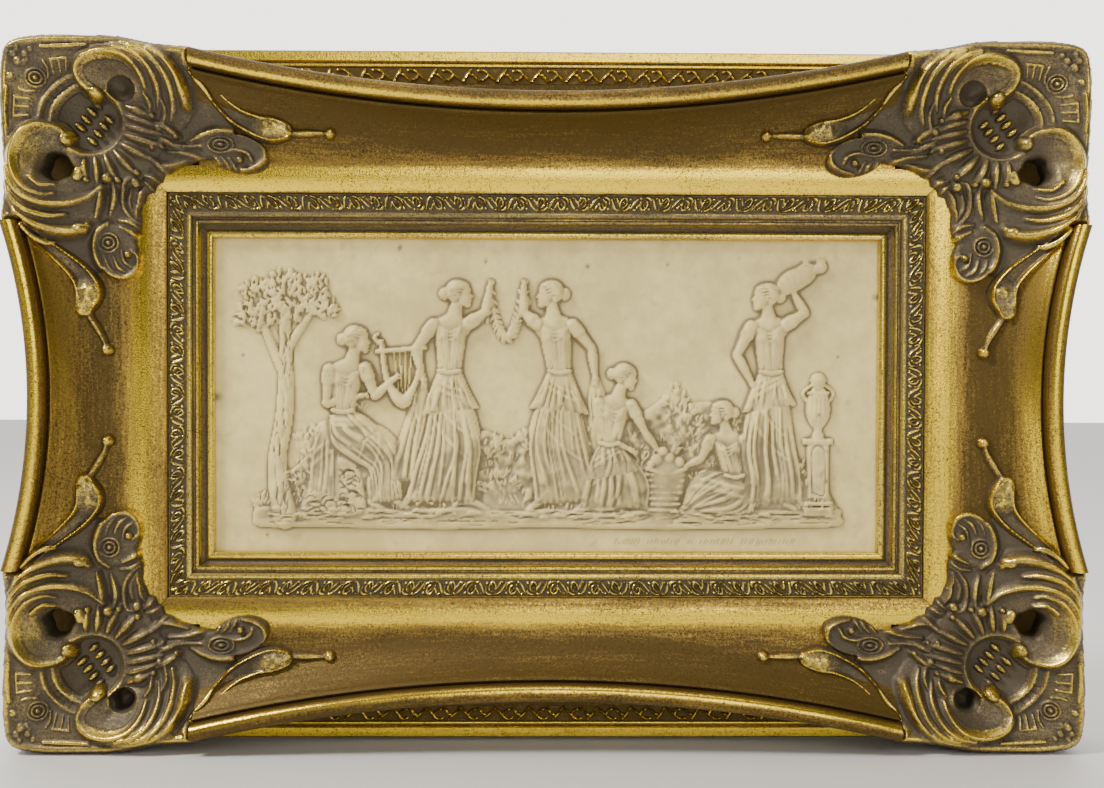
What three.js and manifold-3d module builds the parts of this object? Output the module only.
// A framed marble relief plaque: a cast slab with a low relief, held in a mitred liner, which sits in a
// swept and gilded outer frame with a pierced cast ornament over each corner.
//
// Millimetres. Every piece is drawn looking at the front: x to the right, y up and z out from the wall.
// The last lines turn the drawing upright, so that z points up and the front faces along -y. The origin
// is at the wall, at the middle of the top rail's back, where the piece hangs.
import * as THREE from "three";
import { mergeVertices } from "three/addons/utils/BufferGeometryUtils.js";
import Module from "manifold-3d";

const wasm = await Module();
wasm.setup();

// Driving dimensions
const sightWidth = 331;
const sightHeight = 156;
const linerWidth = 21.8;
const railWidth = 71;
const clearance = 0.3;

// The plaque and the rebates that hold it and the liner
const plaqueThickness = 10;
const plaqueLap = 5;
const plaqueFace = 18;
const linerBack = 6;
const linerLap = 6;
const linerFlangeFront = 20;

// The liner's steps, from the sight edge outwards
const sightBeadWidth = 3.6;
const sightBeadHeight = 4.2;
const linerCoveWidth = 3.4;
const linerBeadWidth = 2;
const linerGrooveWidth = 1;
const linerFilletWidth = 2.8;
const linerCoveRise = 3.2;
const linerBandHeight = 27;
const linerBandDrop = 0.8;
const linerLeafPitch = 24;

// The outer rail's front, from the liner outwards
const innerBandWidth = 4.8;
const innerBandHeight = 28.2;
const humpWidth = 8.2;
const humpRise = 1.6;
const coveTop = 45;
const rollRadius = 4.3;
const rollHeight = 49.5;
const rollGroove = 3.2;
const longRollPlace = 42.3;
const longSweepRadius = 755;
const shortRollPlace = 56.5;
const shortSweepRadius = 275;

// The straight back moulding that shows behind the sweep
const goldBandWidth = 5.5;
const goldBandHeight = 22.2;
const backGrooveDepth = 1.2;
const backGrooveWidth = 1;
const backBeadWidth = 1.6;
const leafBandWidth = 6;
const leafBandHeight = 22.8;

// The corner ornaments, which are drawn for a rail of one width and scaled with it
const drawnRailWidth = 71;
const drawnReach = 87;
const castingLift = 5;
const castingOverhang = 3.6;
const pierceRadius = 6.4;
const hollowRadius = 4.8;
const pendantBeadRadius = 2.5;

// The relief: the height of the slab that its scene is drawn for, and how far the limbs swell out
const drawnSightHeight = 156;
const reliefDepth = 4.6;
const groundTop = -58;
const groundBottom = -67;

// Finishes
const marbleCream = 0xc9bfa2;
const burnishedGold = 0xb58c34;
const antiqueGold = 0x9a7430;
const umberGold = 0x7c6436;

// Sizes that follow from these
const sightHalfWidth = sightWidth / 2;
const sightHalfHeight = sightHeight / 2;
const innerHalfWidth = sightHalfWidth + linerWidth;
const innerHalfHeight = sightHalfHeight + linerWidth;
const outerHalfWidth = innerHalfWidth + railWidth;
const outerHalfHeight = innerHalfHeight + railWidth;
const hangHeight = innerHalfHeight + (linerLap + railWidth) / 2;
const castingScale = railWidth / drawnRailWidth;
const castingFloor = leafBandHeight + clearance;
const rollEnd = drawnReach * castingScale + clearance;
const castingCoveEnd = railWidth - 2 * rollRadius;
const coveStart = innerBandWidth + humpWidth;
const mitreTrim = clearance * Math.SQRT1_2;
const openTop = 2 * rollHeight;

// A closed geometry as a solid that can be joined and cut
function solid(geometry) {
  const bare = geometry.clone();
  bare.deleteAttribute("normal");
  bare.deleteAttribute("uv");
  const merged = mergeVertices(bare, 1e-4);
  return new wasm.Manifold(new wasm.Mesh({
    numProp: 3,
    vertProperties: new Float32Array(merged.attributes.position.array),
    triVerts: new Uint32Array(merged.index.array),
  }));
}

// The solid's own faces as a geometry again
function geometryOf(body) {
  const mesh = body.getMesh();
  const geometry = new THREE.BufferGeometry();
  geometry.setAttribute("position", new THREE.BufferAttribute(mesh.vertProperties, 3));
  geometry.setIndex(new THREE.BufferAttribute(mesh.triVerts, 1));
  geometry.computeVertexNormals();
  return geometry;
}

const join = (bodies) => bodies.reduce((whole, body) => whole.add(body));

const turned = (body, turn) => solid(geometryOf(body).rotateZ(turn));

// Scaled across the front, and mirrored where one of the two is negative
function scaled(body, scaleX, scaleY) {
  const geometry = geometryOf(body).scale(scaleX, scaleY, 1);
  if (scaleX * scaleY < 0) {
    const order = geometry.index.array;
    for (let i = 0; i < order.length; i += 3) [order[i], order[i + 1]] = [order[i + 1], order[i]];
  }
  return solid(geometry);
}

function shapeOf(points) {
  return new THREE.Shape(points.map(([x, y]) => new THREE.Vector2(x, y)));
}

function plate(points, low, high) {
  const geometry = new THREE.ExtrudeGeometry(shapeOf(points), { depth: high - low, bevelEnabled: false });
  return solid(geometry.translate(0, 0, low));
}

// A length of moulding along x, whose profile is [distance out from the inner edge, height] points.
// `halfLength(out)` gives where its ends are cut, and `drift(along, out)` how far it is swept outwards.
function moulding(profile, innerHalfDepth, halfLength, steps = 1, drift = () => 0) {
  const geometry = new THREE.ExtrudeGeometry(shapeOf(profile), { depth: 1, steps, bevelEnabled: false });
  const place = geometry.attributes.position;
  for (let i = 0; i < place.count; i += 1) {
    const out = place.getX(i);
    const along = (2 * place.getZ(i) - 1) * halfLength(out);
    place.setXYZ(i, along, innerHalfDepth + out + drift(along, out), place.getY(i));
  }
  return solid(geometry);
}

const mitred = (innerHalfLength) => (out) => innerHalfLength + out - mitreTrim;

// Points of a round edge from one angle to another, in a profile
function roundEdge(out, height, radius, from, to, count) {
  return Array.from({ length: count + 1 }, (_, i) => {
    const angle = THREE.MathUtils.degToRad(from + (to - from) * i / count);
    return [out + radius * Math.cos(angle), height + radius * Math.sin(angle)];
  });
}

// Liner rails
function linerProfile() {
  const lipBack = plaqueFace + clearance;
  const beadHalf = sightBeadWidth / 2;
  const coveEnd = sightBeadWidth + linerCoveWidth;
  const beadEnd = coveEnd + linerBeadWidth;
  const grooveEnd = beadEnd + linerGrooveWidth;
  const filletEnd = grooveEnd + linerFilletWidth;
  const coveFoot = lipBack + sightBeadHeight - 0.8 * beadHalf;
  const coveHead = coveFoot + linerCoveRise;
  const slabEdge = plaqueLap + clearance;
  return [
    [0, lipBack],
    [0, lipBack + sightBeadHeight - beadHalf],
    ...roundEdge(beadHalf, lipBack + sightBeadHeight - beadHalf, beadHalf, 150, 30, 3),
    [sightBeadWidth, coveFoot],
    [sightBeadWidth + linerCoveWidth * 0.6, coveFoot + linerCoveRise * 0.3],
    [coveEnd, coveHead],
    [coveEnd + linerBeadWidth / 2, coveHead + linerBeadWidth / 2],
    [beadEnd, coveHead],
    [grooveEnd, coveHead],
    [grooveEnd, linerBandHeight],
    [filletEnd, linerBandHeight],
    [filletEnd, linerBandHeight - linerBandDrop],
    [linerWidth - clearance, linerBandHeight - linerBandDrop],
    [linerWidth - clearance, linerFlangeFront],
    [linerWidth + linerLap - 2 * clearance, linerFlangeFront],
    [linerWidth + linerLap - 2 * clearance, linerBack],
    [slabEdge, linerBack],
    [slabEdge, lipBack],
  ];
}

// Small leaves along the liner's band, which slant to either side in turn
function linerLeaves(innerHalfLength, innerHalfDepth) {
  const bandStart = sightBeadWidth + linerCoveWidth + linerBeadWidth + linerGrooveWidth + linerFilletWidth;
  const bandMiddle = (bandStart + linerWidth - clearance) / 2;
  const leafLength = 8;
  const leafWidth = 2.6;
  const leafDepth = 2;
  const slant = 0.45;
  const length = 2 * (innerHalfLength + bandMiddle - leafLength);
  const count = Math.floor(length / linerLeafPitch);
  const leaves = [];
  for (let i = 0; i <= count; i += 1) {
    const leaf = new THREE.ConeGeometry(1, 1, 4);
    leaf.rotateX(Math.PI / 2);
    leaf.scale(leafLength / 2, leafWidth / 2, leafDepth);
    leaf.rotateZ(i % 2 ? slant : -slant);
    leaf.translate((i - count / 2) * linerLeafPitch, innerHalfDepth + bandMiddle, linerBandHeight);
    leaves.push(solid(leaf));
  }
  return leaves;
}

// The outer rail's front, from the liner to the roll. The cove steepens towards the roll.
const coveFootHeight = innerBandHeight + 1;
const coveSteepening = 2.1;

function coveHeight(out, coveEnd) {
  const share = THREE.MathUtils.clamp((out - coveStart) / (coveEnd - coveStart), 0, 1);
  return coveFootHeight + (coveTop - coveFootHeight) * share ** coveSteepening;
}

function covePoints(coveEnd, count) {
  return Array.from({ length: count + 1 }, (_, i) => {
    const out = coveStart + (coveEnd - coveStart) * i / count;
    return [out, coveHeight(out, coveEnd)];
  });
}

function innerBandPoints() {
  return [
    [0, innerBandHeight - 0.4],
    [innerBandWidth, innerBandHeight],
    [innerBandWidth + humpWidth * 0.45, innerBandHeight + humpRise],
  ];
}

// The cove, the groove and the roll, which run between the corner ornaments
function sweptProfile(rollPlace) {
  const grooveAt = rollPlace - rollRadius;
  const coveEnd = grooveAt - rollGroove;
  return [
    ...covePoints(coveEnd, 4),
    [coveEnd + rollGroove * 0.5, coveTop + 1.6],
    [grooveAt, coveTop + 0.8],
    ...roundEdge(rollPlace, rollHeight, rollRadius, 185, -30, 4),
    [rollPlace + rollRadius + 0.4, goldBandHeight - backGrooveDepth],
    [coveStart, goldBandHeight - backGrooveDepth],
  ];
}

// The straight, mitred part: the back moulding, and in front of it the flat band and the hump
function straightProfile() {
  const bandEnd = railWidth - goldBandWidth;
  const grooveEnd = bandEnd - backGrooveWidth;
  const beadEnd = grooveEnd - backBeadWidth;
  const leafEnd = beadEnd - leafBandWidth;
  return [
    [linerLap, 0],
    [railWidth, 0],
    [railWidth, goldBandHeight],
    [bandEnd, goldBandHeight],
    [bandEnd, goldBandHeight - backGrooveDepth],
    [grooveEnd, goldBandHeight - backGrooveDepth],
    [grooveEnd - backBeadWidth / 2, leafBandHeight],
    [beadEnd, goldBandHeight],
    [leafEnd, leafBandHeight],
    [leafEnd - backGrooveWidth, goldBandHeight - backGrooveDepth],
    [coveStart, goldBandHeight - backGrooveDepth],
    [coveStart, coveFootHeight],
    ...innerBandPoints().reverse(),
    [0, linerFlangeFront + clearance],
    [linerLap, linerFlangeFront + clearance],
  ];
}

function outerRail(innerHalfLength, innerHalfDepth, rollPlace, sweepRadius, steps) {
  const coveEnd = rollPlace - rollRadius - rollGroove;
  const sweep = (along, out) => {
    const share = THREE.MathUtils.clamp((out - coveStart) / (coveEnd - coveStart), 0, 1);
    return (sweepRadius - Math.sqrt(sweepRadius ** 2 - along ** 2)) * share;
  };
  const rollHalfLength = innerHalfLength + railWidth - rollEnd;
  const front = moulding(sweptProfile(rollPlace), innerHalfDepth, () => rollHalfLength, steps, sweep);
  const straight = moulding(straightProfile(), innerHalfDepth, mitred(innerHalfLength));
  return front.add(straight);
}

// Sections of a ridge, as [side, rise] corners. A rise of null is a corner at the ridge's foot.
const limbSection = [[0.5, 1], [1, null], [-1, null], [-0.5, 1]];
const keenSection = [[0, 1], [1, null], [-1, null]];
const boxSection = [[1, 1], [1, null], [-1, null], [-1, 1]];

// A ridge along a smooth line of [x, y, half width] points. `base` gives the height of its sides at a
// point, `foot` the height where it is closed below, `crown` how far its section rises over its sides, as
// a share of its half width, and `blunt` how wide its two ends stay.
function ridge(points, { base, foot, crown = 0.6, section = keenSection, blunt = 0.45 }) {
  const line = new THREE.CatmullRomCurve3(points.map(([x, y, half]) => new THREE.Vector3(x, y, half)));
  const tube = new THREE.CylinderGeometry(1, 1, 1, section.length, points.length - 1);
  const place = tube.attributes.position;
  for (let i = 0; i < place.count; i += 1) {
    const share = THREE.MathUtils.clamp(0.5 - place.getY(i), 0, 1);
    const here = line.getPoint(share);
    const heading = line.getTangent(share).setZ(0).normalize();
    const atEnd = share < 1e-6 || share > 1 - 1e-6;
    const half = here.z * (atEnd ? blunt : 1);
    const middle = Math.hypot(place.getX(i), place.getZ(i)) < 0.5;
    const turn = Math.atan2(place.getX(i), place.getZ(i)) / (2 * Math.PI);
    const corner = Math.round((turn + 1) * section.length) % section.length;
    const [side, rise] = middle ? [0, 0] : section[corner];
    const x = here.x - heading.y * half * side;
    const y = here.y + heading.x * half * side;
    const level = base(here.x, here.y);
    place.setXYZ(i, x, y, rise === null ? foot(here.x, here.y) : level + rise * half * crown);
  }
  return solid(tube);
}

function bead(x, y, z, [halfLength, halfWidth, halfDepth]) {
  const ball = new THREE.SphereGeometry(1, 6, 4).rotateX(Math.PI / 2);
  return solid(ball.scale(halfLength, halfWidth, halfDepth).translate(x, y, z));
}

// A tapered boss with few faces
function stud(x, y, z, [halfLength, halfWidth, halfDepth], angle = 0, sides = 5) {
  const gem = new THREE.CylinderGeometry(0.5, 1, 1, sides).rotateX(Math.PI / 2);
  gem.scale(halfLength, halfWidth, 2 * halfDepth);
  gem.rotateZ(THREE.MathUtils.degToRad(angle));
  return solid(gem.translate(x, y, z));
}

// Points of an oval or a part of one, all with the same half width
function ovalLine([x, y], [long, short], tilt, from, to, count, half) {
  const turn = THREE.MathUtils.degToRad(tilt);
  return Array.from({ length: count + 1 }, (_, i) => {
    const angle = THREE.MathUtils.degToRad(from + (to - from) * i / count);
    const u = long * Math.cos(angle);
    const v = short * Math.sin(angle);
    return [x + u * Math.cos(turn) - v * Math.sin(turn), y + u * Math.sin(turn) + v * Math.cos(turn), half];
  });
}

// Corner ornaments. They are drawn for the upper left corner with [p, q], the distances in from the
// outer rail's left edge and down from its top edge. The long arm runs along the top rail and the short
// arm down the side rail, and the two are near mirror images about the mitre.
function toFront([p, q, ...half]) {
  return [p * castingScale - outerHalfWidth, outerHalfHeight - q * castingScale,
    ...half.map((width) => width * castingScale)];
}

const plateOutline = [
  [drawnReach, 3.8], [69, 2.4], [53, -0.9], [20, -1.6], [3, 0.6], [-2.2, 7], [-castingOverhang, 20],
  [-1.6, 66], [-2.8, drawnReach], [7.5, drawnReach], [24, 104], [38, 112], [56, 98],
  [60.5, 78], [65.5, 65.5], [78, 57.5], [100, 54], [106, 36], [drawnReach, 15],
];
const pierce = [19.5, 59.5];
const hollow = [54.5, 23.2];
const shellCentre = [36, 38];
const shellRadius = 16.6;
const spearLeaves = [
  [[88, 15, 3], [106, 34.6, 4.5], [124, 42, 5.8], [131, 42.4, 4]],
  [[8, 90, 3], [28.9, 108.9, 5], [36.4, 121, 6], [33.4, 130, 3.6]],
];
const pendant = (from, to) => [
  [...from, 1.8],
  [from[0] + (to[0] - from[0]) * 0.75, from[1] + (to[1] - from[1]) * 0.75, 1.1],
  [...to, pendantBeadRadius],
];
const pendants = [
  pendant([129, 42.7], [154, 42.9]),
  pendant([34.5, 128], [44, 150.8]),
];
const medallions = [
  { centre: [107.5, 53], halves: [14.5, 9], tilt: 14 },
  { centre: [48.8, 101.5], halves: [13.5, 9.8], tilt: 72 },
];
const scrolls = [
  [[42, 27, 3.2], [32.6, 16, 2.2], [40, 8, 2.4], [58, 7, 2.8], [74, 15, 2.8], [82.6, 29, 1.6]],
  [[27, 47, 3.2], [15.5, 41, 2.2], [5.2, 51, 2.4], [3, 67, 2.8], [11, 82, 2.8], [25, 89.4, 2.8],
    [36.5, 86, 2]],
];
const ribs = [
  [[58, 10.6, 1.4], [66.6, 17, 1.8], [70, 31, 1.2]],
  [[5, 68, 1.2], [18, 77.4, 1.8], [38, 71.5, 1.2]],
];
const innerLeaves = [
  [[50, 52, 3], [64, 64, 2]],
  [[56, 46, 2.4], [70, 51.5, 2.4], [88, 53, 1.6]],
  [[46, 58, 2.4], [51.5, 71, 2.4], [48, 88, 1.6]],
];

// The ornament's ground: the rail's own front lifted, in a few flat steps from the liner outwards
const groundRise = [0, 0.36, 0.7, 1].map((share) => {
  const out = coveStart + (castingCoveEnd - coveStart) * share;
  return [out, coveHeight(out, castingCoveEnd) + castingLift];
});

function castingGround(x, y) {
  const out = Math.max(-x - innerHalfWidth, y - innerHalfHeight);
  const next = groundRise.findIndex(([at]) => at > out);
  if (next < 0) return groundRise[groundRise.length - 1][1];
  if (next === 0) return groundRise[0][1];
  const [low, high] = [groundRise[next - 1], groundRise[next]];
  return low[1] + (high[1] - low[1]) * (out - low[0]) / (high[0] - low[0]);
}

// The two arms of that ground, mitred at the corner, as one block for the plate to be cut from
function castingBlock() {
  const outer = railWidth + 3 * castingOverhang;
  const profile = [
    [-castingOverhang, castingFloor],
    [outer, castingFloor],
    [outer, groundRise[groundRise.length - 1][1]],
    ...[...groundRise].reverse(),
    [-castingOverhang, groundRise[0][1]],
  ];
  const geometry = new THREE.ExtrudeGeometry(shapeOf(profile), { depth: 1, steps: 2, bevelEnabled: false });
  const place = geometry.attributes.position;
  const reach = 2 * railWidth;
  for (let i = 0; i < place.count; i += 1) {
    const out = place.getX(i);
    const share = place.getZ(i);
    const x = share < 0.75 ? -innerHalfWidth - out : reach - innerHalfWidth;
    const y = share > 0.25 ? innerHalfHeight + out : innerHalfHeight - reach;
    place.setXYZ(i, x, y, place.getY(i));
  }
  return solid(geometry);
}

// An outline moved outwards by `grow`
function growOutline(points, grow) {
  return points.map((point, i) => {
    const before = points[(i + points.length - 1) % points.length];
    const after = points[(i + 1) % points.length];
    const run = new THREE.Vector2(after[0] - before[0], after[1] - before[1]).normalize();
    return [point[0] + run.y * grow, point[1] - run.x * grow];
  });
}

function medallionOutline({ centre, halves, tilt }) {
  return ovalLine(centre, halves, tilt, 360, 60, 6, 0).map(([p, q]) => toFront([p, q]));
}

// The room that the rails leave for an ornament: its outlines grown by the clearance, as one pillar
function castingRoom() {
  const [foot, base] = [() => leafBandHeight, () => openTop];
  const pillar = { base, foot, crown: 0, blunt: 1, section: boxSection };
  const stretch = ([x, y, half], [nextX, nextY]) => {
    const share = clearance / Math.hypot(x - nextX, y - nextY);
    return [x + (x - nextX) * share, y + (y - nextY) * share, half];
  };
  const arms = [...spearLeaves, ...pendants].map((drawn) => {
    const line = drawn.map(toFront).map(([x, y, half]) => [x, y, half + clearance]);
    const last = line.length - 1;
    return [stretch(line[0], line[1]), ...line.slice(1, -1), stretch(line[last], line[last - 1])];
  });
  const outlines = [plateOutline.map(toFront), ...medallions.map(medallionOutline)];
  return join([
    ...outlines.map((outline) => plate(growOutline(outline, clearance), leafBandHeight, openTop)),
    ...arms.map((line) => ridge(line, pillar)),
  ]);
}

function cornerOrnament() {
  const sunk = 3;
  const body = castingBlock().intersect(plate(plateOutline.map(toFront), castingFloor, openTop));
  const onPlate = (line, options) => ridge(line.map(toFront), {
    base: castingGround, foot: (x, y) => castingGround(x, y) - sunk, ...options,
  });
  const fromFloor = (line, lift, options) => ridge(line.map(toFront), {
    base: (x, y) => castingGround(x, y) + lift, foot: () => castingFloor, ...options,
  });
  const studs = (p, q, lift, halves, angle, sides) => {
    const [x, y] = toFront([p, q]);
    return stud(x, y, castingGround(x, y) + lift, halves.map((size) => size * castingScale), angle, sides);
  };
  const parts = [body];
  for (const leaf of spearLeaves) parts.push(fromFloor(leaf, 0.5, { crown: 0.5, section: limbSection }));
  for (const stem of pendants) parts.push(fromFloor(stem, -3.6, { crown: 0.9, blunt: 0.9 }));
  for (const medallion of medallions) {
    const { centre, halves, tilt } = medallion;
    const [x, y] = toFront(centre);
    parts.push(plate(medallionOutline(medallion), castingFloor, castingGround(x, y) + 0.6));
    parts.push(studs(...centre, 0.6, [0.6 * halves[0], 0.6 * halves[1], 2.4], -tilt));
  }
  for (const line of scrolls) {
    parts.push(onPlate(line, { crown: 1, base: (x, y) => castingGround(x, y) + 1, section: limbSection }));
    parts.push(studs(line[0][0], line[0][1], 2, [3.8, 3.8, 3.4]));
  }
  for (const line of [...ribs, ...innerLeaves]) parts.push(onPlate(line, { crown: 1.1 }));
  const rim = ovalLine(shellCentre, [shellRadius, shellRadius], 0, 120, 330, 4, 1.5);
  parts.push(onPlate(rim, { crown: 1.2 }));
  for (const row of [-1, 1]) {
    for (const step of [-1, 1]) {
      const p = shellCentre[0] + row * 4.2 - step * 3;
      const q = shellCentre[1] + row * 2.4 + step * 3.6;
      parts.push(studs(p, q, 0.4, [3.4, 2, 2.2], -30, 4));
    }
  }
  parts.push(studs(13.3, 19, 0.2, [4.4, 4.4, 1.8]));
  parts.push(studs(5.8, 10.6, 0, [3.6, 3.2, 3.4]));
  let casting = join(parts);
  for (const [[p, q], radius] of [[pierce, pierceRadius], [hollow, hollowRadius]]) {
    const size = radius * castingScale;
    const hole = new THREE.CylinderGeometry(size, size, openTop, 8).rotateX(Math.PI / 2);
    const [x, y] = toFront([p, q]);
    casting = casting.subtract(solid(hole.translate(x, y, openTop / 2)));
  }
  return casting;
}

// Plaque. A generic scene, drawn about the middle of the slab: a lyre player seated under a laurel, two
// dancers with a swag, one figure who kneels at a basket, another who sits by it, and a third with a jar
// beside a pedestal.
const onSlab = { base: () => plaqueFace, foot: () => plaqueFace - 1 };
const depthShare = reliefDepth / 8;

function limb(points, lift = 0, options = {}) {
  return ridge(points, {
    ...onSlab, base: () => plaqueFace + lift, crown: depthShare, section: limbSection, ...options,
  });
}

function boss(x, y, halves, lift = 0, angle = 0) {
  return stud(x, y, plaqueFace + lift, halves, angle);
}

// A gown as one fluted ridge along [x, y, half width] points, with `flutes` folds across it
function gown(points, flutes) {
  const folds = Array.from({ length: 2 * flutes + 1 }, (_, i) => {
    const across = i / flutes - 1;
    return [across * 0.94, i % 2 ? 1 : 0.45 - 0.2 * Math.abs(across)];
  });
  return limb(points, 0.6, { section: [...folds, [1, null], [-1, null]], crown: 0.42, blunt: 0.85 });
}

// Half widths of a standing figure's parts
const body = { neck: 3, chest: 7.6, waist: 5.6, shoulder: 3.6, elbow: 2.8, hand: 1.9, knee: 4.4, ankle: 2.8,
  toe: 2, head: [5.9, 7.3, 4.2], hair: [5, 4.2, 3.6] };

// Joints are [x, y] on the slab. A leg is bare from where it leaves the gown, and `build` is the
// figure's scale beside a standing one.
function figure({ head, neck, shoulders, arms, waist, skirt, flutes, legs, build = 1 }) {
  const keen = { section: keenSection, crown: 0.8 };
  const wide = (place, name) => [...place, body[name] * build];
  const parts = [gown([wide(waist, "waist"), ...skirt.map(([x, y, half]) => [x, y, half * build])], flutes)];
  for (const [start, ankle, toe] of legs) {
    parts.push(limb([wide(start, "knee"), wide(ankle, "ankle"), wide(toe, "toe")], 0.2, keen));
  }
  const [[leftX, leftY], [rightX, rightY]] = shoulders;
  const chest = [(leftX + rightX) / 2, (leftY + rightY) / 2 - 5 * build];
  parts.push(limb([wide(neck, "neck"), wide(chest, "chest"), wide(waist, "waist")], 1, { crown: 0.45 }));
  shoulders.forEach((shoulder, side) => {
    const [elbow, hand] = arms[side];
    parts.push(limb([wide(shoulder, "shoulder"), wide(elbow, "elbow"), wide(hand, "hand")], 1.6, keen));
  });
  const back = Math.sign(neck[0] - head[0]) || 1;
  const [headSize, hairSize] = [body.head, body.hair].map((size) => size.map((half) => half * build));
  parts.push(bead(...head, plaqueFace + 1, headSize));
  parts.push(boss(head[0] + back * 4 * build, head[1] + 2.6 * build, hairSize, 1));
  return parts;
}

const figures = [
  { head: [-95, 27], neck: [-98, 17], shoulders: [[-107, 11], [-91, 12]], waist: [-102, -8], flutes: 3,
    arms: [[[-110, -4], [-93, 0]], [[-86, 0], [-77, 8]]],
    skirt: [[-100, -22, 9], [-84, -25, 9], [-80, -48, 10]],
    legs: [[[-77, -40], [-76, -52], [-69, -56]], [[-86, -42], [-88, -53], [-81, -57]]] },
  { head: [-44, 50], neck: [-47, 40], shoulders: [[-54, 34], [-41, 34]], waist: [-49, 12], flutes: 3,
    arms: [[[-64, 24], [-62, 8]], [[-30, 38], [-24, 50]]],
    skirt: [[-50, -4, 8.5], [-52, -28, 12], [-54, -48, 17]],
    legs: [[[-42, -40], [-36, -53], [-28, -57]], [[-62, -40], [-69, -51], [-74, -56]]] },
  { head: [1, 50], neck: [3, 40], shoulders: [[-4, 34], [10, 33]], waist: [6, 12], flutes: 3,
    arms: [[[-12, 40], [-16, 52]], [[20, 24], [24, 9]]],
    skirt: [[8, -4, 8.5], [11, -28, 12], [13, -48, 16]],
    legs: [[[1, -40], [-4, -53], [-11, -57]], [[20, -42], [25, -52], [31, -56]]] },
  { head: [39, 9], neck: [35, 0], shoulders: [[27, -5], [41, -6]], waist: [31, -24], flutes: 3, build: 0.92,
    arms: [[[28, -20], [42, -27]], [[49, -18], [57, -29]]],
    skirt: [[30, -38, 9], [38, -50, 13]],
    legs: [[[44, -42], [47, -55], [53, -57]], [[32, -54], [20, -56], [15, -57]]] },
  { head: [87, -9], neck: [90, -18], shoulders: [[83, -23], [97, -23]], waist: [94, -40], flutes: 3,
    arms: [[[77, -31], [69, -35]], [[105, -36], [103, -54]]], build: 0.9,
    skirt: [[92, -50, 8], [80, -46, 8], [76, -52, 7]],
    legs: [[[79, -40], [72, -54], [65, -57]], [[84, -48], [77, -56], [70, -58]]] },
  { head: [109, 49], neck: [111, 39], shoulders: [[104, 33], [118, 34]], waist: [112, 12], flutes: 3,
    arms: [[[97, 20], [103, 5]], [[127, 40], [122, 53]]],
    skirt: [[113, -4, 8.5], [113, -28, 11], [113, -50, 14]],
    legs: [[[107, -42], [105, -54], [98, -57]], [[118, -42], [120, -54], [126, -57]]] },
];

function laurel() {
  const parts = [
    limb([[-131, -60, 7], [-135, -34, 4.6], [-131, -6, 4.2], [-131, 40, 2.6]], 0.4),
    limb([[-133, 14, 2.6], [-145, 42, 1.6]], 0.2),
    limb([[-132, 20, 2.4], [-114, 48, 1.4]], 0.2),
  ];
  const sprays = [[-146, 46, 120], [-136, 51, 80], [-123, 54, 60], [-112, 50, 20], [-122, 37, 140],
    [-147, 34, 190]];
  for (const [x, y, angle] of sprays) parts.push(boss(x, y, [7, 3, 2.6], 0, angle));
  return parts;
}

function swag() {
  const lobes = 5;
  const [left, right] = [[-23, 50], [-17, 51]];
  return Array.from({ length: lobes }, (_, i) => {
    const share = i / (lobes - 1);
    const x = left[0] + (right[0] - left[0]) * share + 5 * (2 * share - 1) * Math.sin(Math.PI * share);
    const y = left[1] - 34 * Math.sin(Math.PI * share) ** 0.8;
    return boss(x, y, [3, 3, 3], 0.4);
  });
}

function lyre() {
  return [
    limb([[-83, 27, 1.2], [-80, 8, 1.6], [-72, -3, 3.4], [-65, 8, 1.6], [-63, 27, 1.2]], 1),
    limb([[-84, 22, 1.2], [-62, 24, 1.2]], 1.2, { blunt: 1 }),
  ];
}

function pedestalAndUrn() {
  return [
    plate([[129, groundTop - 2], [143, groundTop - 2], [143, -52], [140.5, -50], [140.5, -24], [143, -21],
      [129, -21], [131.5, -24], [131.5, -50], [129, -52]], plaqueFace - 1, plaqueFace + 2.4),
    limb([[136, -21, 3.4], [136, -16, 2], [136, -8, 6], [136, 0, 5], [136, 4, 2.6], [136, 8, 4]], 0.6),
  ];
}

function sceneThings() {
  return [
    limb([[58, -60, 6.4], [59, -47, 8.6], [60, -38, 10]], 0.6, { crown: 0.4 }),
    boss(56, -33, [4.6, 4.4, 4.4]), boss(65, -34, [4.4, 4, 4]),
    limb([[116, 52, 2], [121, 57, 5.4], [129, 61, 4.6], [133, 63, 2.2], [137, 65, 3]], 1.2),
    limb([[-120, -60, 9], [-108, -40, 15], [-104, -33, 9]], 0.2, { crown: 0.24 }),
  ];
}

function groundStrip() {
  const outline = [
    [-146, groundTop + 1], [-100, groundTop + 1], [-60, groundTop], [30, groundTop - 1],
    [146, groundTop + 1], [147, groundBottom + 2], [60, groundBottom], [-50, groundBottom + 1],
    [-145, groundBottom + 1],
  ];
  return plate(outline, plaqueFace - 1, plaqueFace + 2.2);
}

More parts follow.
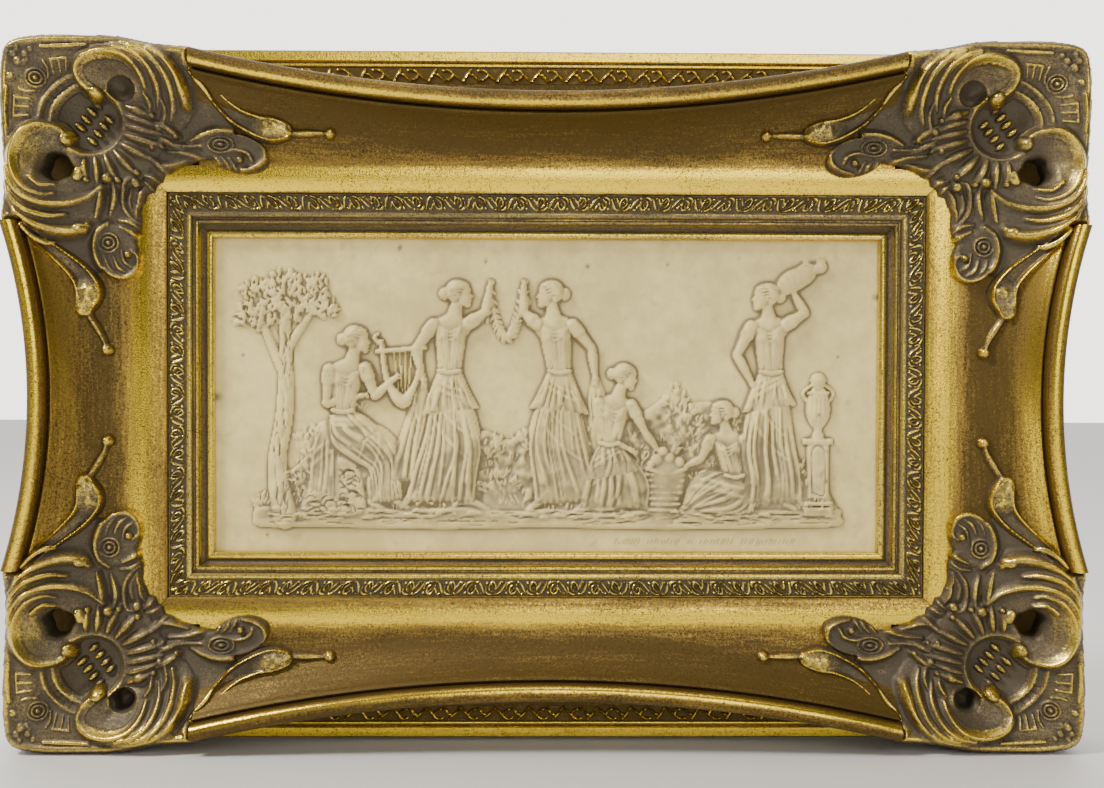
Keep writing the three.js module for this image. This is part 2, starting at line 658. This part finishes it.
function plaque() {
  const halfWidth = sightHalfWidth + plaqueLap;
  const halfHeight = sightHalfHeight + plaqueLap;
  const slab = new THREE.BoxGeometry(2 * halfWidth, 2 * halfHeight, plaqueThickness);
  const relief = join([groundStrip(), ...figures.flatMap(figure), ...laurel(), ...swag(), ...lyre(),
    ...pedestalAndUrn(), ...sceneThings()]);
  const sceneScale = sightHeight / drawnSightHeight;
  slab.translate(0, 0, plaqueFace - plaqueThickness / 2);
  return solid(slab).add(scaled(relief, sceneScale, sceneScale));
}

// Assembly
const drawing = new THREE.Group();
drawing.rotation.x = Math.PI / 2;
drawing.position.z = -hangHeight;

function add(name, body, color, roughness, metalness, turn = 0) {
  const finish = new THREE.MeshStandardMaterial({ color, roughness, metalness });
  const mesh = new THREE.Mesh(geometryOf(body), finish);
  mesh.name = name;
  mesh.rotation.z = turn;
  drawing.add(mesh);
}

add("plaque", plaque(), marbleCream, 0.55, 0);

const sides = [
  { name: "top", turn: 0, long: true },
  { name: "left", turn: Math.PI / 2, long: false },
  { name: "bottom", turn: Math.PI, long: true },
  { name: "right", turn: -Math.PI / 2, long: false },
];
const corners = [
  { name: "top_left", flip: [1, 1] },
  { name: "top_right", flip: [-1, 1] },
  { name: "bottom_left", flip: [1, -1] },
  { name: "bottom_right", flip: [-1, -1] },
];
const room = castingRoom();
const rooms = join(corners.map(({ flip }) => scaled(room, ...flip)));

for (const { name, turn, long } of sides) {
  const linerLength = long ? sightHalfWidth : sightHalfHeight;
  const linerDepth = long ? sightHalfHeight : sightHalfWidth;
  const liner = join([
    moulding(linerProfile(), linerDepth, mitred(linerLength)),
    ...linerLeaves(linerLength, linerDepth),
  ]);
  add(`liner_${name}`, turned(liner, turn), umberGold, 0.45, 0.6);

  const rail = long
    ? outerRail(innerHalfWidth, innerHalfHeight, longRollPlace, longSweepRadius, 5)
    : outerRail(innerHalfHeight, innerHalfWidth, shortRollPlace, shortSweepRadius, 4);
  add(`rail_${name}`, turned(rail, turn).subtract(rooms), antiqueGold, 0.4, 0.7);
}

const ornament = cornerOrnament();
for (const { name, flip } of corners) {
  add(`corner_${name}`, scaled(ornament, ...flip), burnishedGold, 0.45, 0.6);
}

export default drawing;
